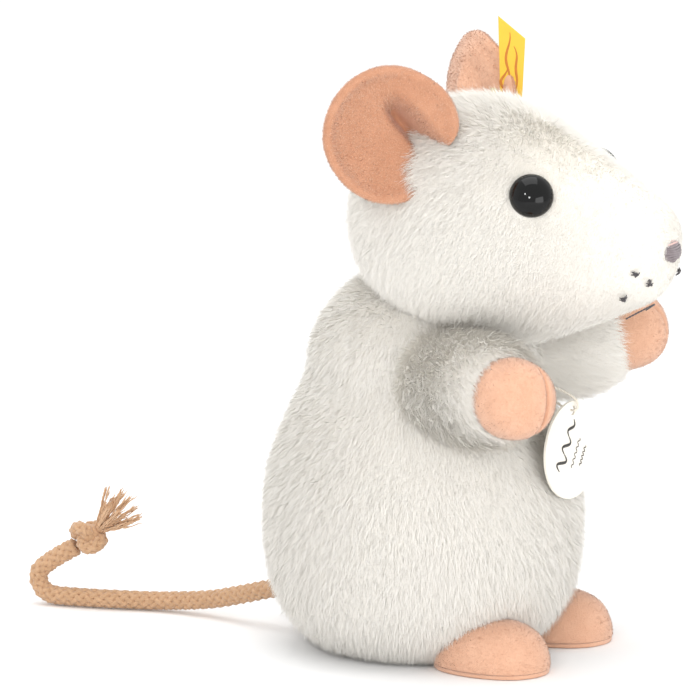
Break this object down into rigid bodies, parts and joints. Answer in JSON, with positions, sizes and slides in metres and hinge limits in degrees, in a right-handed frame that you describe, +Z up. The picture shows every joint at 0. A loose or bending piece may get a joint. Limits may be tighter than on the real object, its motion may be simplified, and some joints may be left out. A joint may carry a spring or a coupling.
{
  "type": "sitting plush toy mouse",
  "caption": "Upright sitting soft plush mouse with round cupped velour ears, domed eyes, stub arms, flat feet, a swing tag and a knotted braided cord tail.",
  "frame": {"origin": "on the ground under the middle of the body", "axes": "+X the way the nose points, +Y the mouse's left, +Z up"},
  "size_m": [0.1705, 0.0892, 0.1498],
  "materials": {
    "fur": "long white woven plush pile",
    "velour": "short peach velour",
    "filling": "loose polyester fibre",
    "pellets": "fine pellets in a cotton bag",
    "lining": "plain woven backing",
    "eye": "polished black",
    "washer": "natural moulded plastic",
    "thread": "dark grey embroidery thread",
    "button": "plain domed metal",
    "ribbon": "woven yellow ribbon",
    "card": "coated cream card",
    "tag_thread": "fine twisted thread",
    "cord": "braided tan cotton cord"
  },
  "bodies": {
    "torso": {"body_side_left": "fur", "body_side_right": "fur", "base_panel": "fur", "body_stuffing": "filling", "pellet_bag": "pellets", "tail_anchor": "cord", "foot_left": "velour", "foot_stuffing_left": "filling", "foot_sole_left": "velour", "foot_right": "velour", "foot_stuffing_right": "filling", "foot_sole_right": "velour"},
    "neck": {"neck_lining": "lining"},
    "head": {"head_side_left": "fur", "head_side_right": "fur", "head_gusset": "fur", "head_stuffing_left": "filling", "head_stuffing_right": "filling", "eye_left": "eye", "eye_right": "eye", "eye_washer_left": "washer", "eye_washer_right": "washer", "nose_stitches": "thread", "mouth_stitches": "thread", "whisker_spots": "thread"},
    "ear_left": {"ear_lining_left": "velour", "ear_back_left": "velour", "ear_button": "button", "ear_flag": "ribbon"},
    "ear_right": {"ear_lining_right": "velour", "ear_back_right": "velour"},
    "tag": {"tag_card": "card", "tag_thread": "tag_thread"},
    "tail": {"tail_cord": "cord", "tail_knot": "cord", "tail_fringe": "cord"},
    "arm_left": {"sleeve_left": "fur", "sleeve_stuffing_left": "filling", "paw_left": "velour", "paw_stuffing_left": "filling"},
    "arm_right": {"sleeve_right": "fur", "sleeve_stuffing_right": "filling", "paw_right": "velour", "paw_stuffing_right": "filling"}
  },
  "joints": [
    {"name": "head_turn", "type": "hinge", "parent": "torso", "child": "neck", "pos_m": [-0.001, 0, 0.0655], "axis": [0, 0, 1], "range_deg": [-10, 10], "stiffness_Nm_per_rad": 0.3},
    {"name": "head_nod", "type": "hinge", "parent": "neck", "child": "head", "pos_m": [-0.001, 0, 0.0655], "axis": [0, 1, 0], "range_deg": [-8, 6], "stiffness_Nm_per_rad": 1.2},
    {"name": "arm_left_swing", "type": "hinge", "parent": "torso", "child": "arm_left", "pos_m": [0.014, 0.021, 0.069], "axis": [0, 0, 1], "range_deg": [-14, 14], "stiffness_Nm_per_rad": 0.05},
    {"name": "ear_left_flex", "type": "hinge", "parent": "head", "child": "ear_left", "pos_m": [0.009, 0.021, 0.121], "axis": [0.4505, 0.4505, 0.7708], "range_deg": [-10, 10], "stiffness_Nm_per_rad": 0.02},
    {"name": "arm_right_swing", "type": "hinge", "parent": "torso", "child": "arm_right", "pos_m": [0.014, -0.021, 0.069], "axis": [0, 0, -1], "range_deg": [-14, 14], "stiffness_Nm_per_rad": 0.05},
    {"name": "ear_right_flex", "type": "hinge", "parent": "head", "child": "ear_right", "pos_m": [0.009, -0.021, 0.121], "axis": [-0.4505, 0.4505, -0.7708], "range_deg": [-10, 10], "stiffness_Nm_per_rad": 0.02},
    {"name": "tag_swing", "type": "hinge", "parent": "torso", "child": "tag", "pos_m": [0.0262, -0.001, 0.0665], "axis": [0, -1, 0], "range_deg": [0, 55]},
    {"name": "tail_swing", "type": "hinge", "parent": "torso", "child": "tail", "pos_m": [-0.0334, 0, 0.0116], "axis": [0, 0, 1], "range_deg": [-15, 15], "stiffness_Nm_per_rad": 0.02}
  ]
}
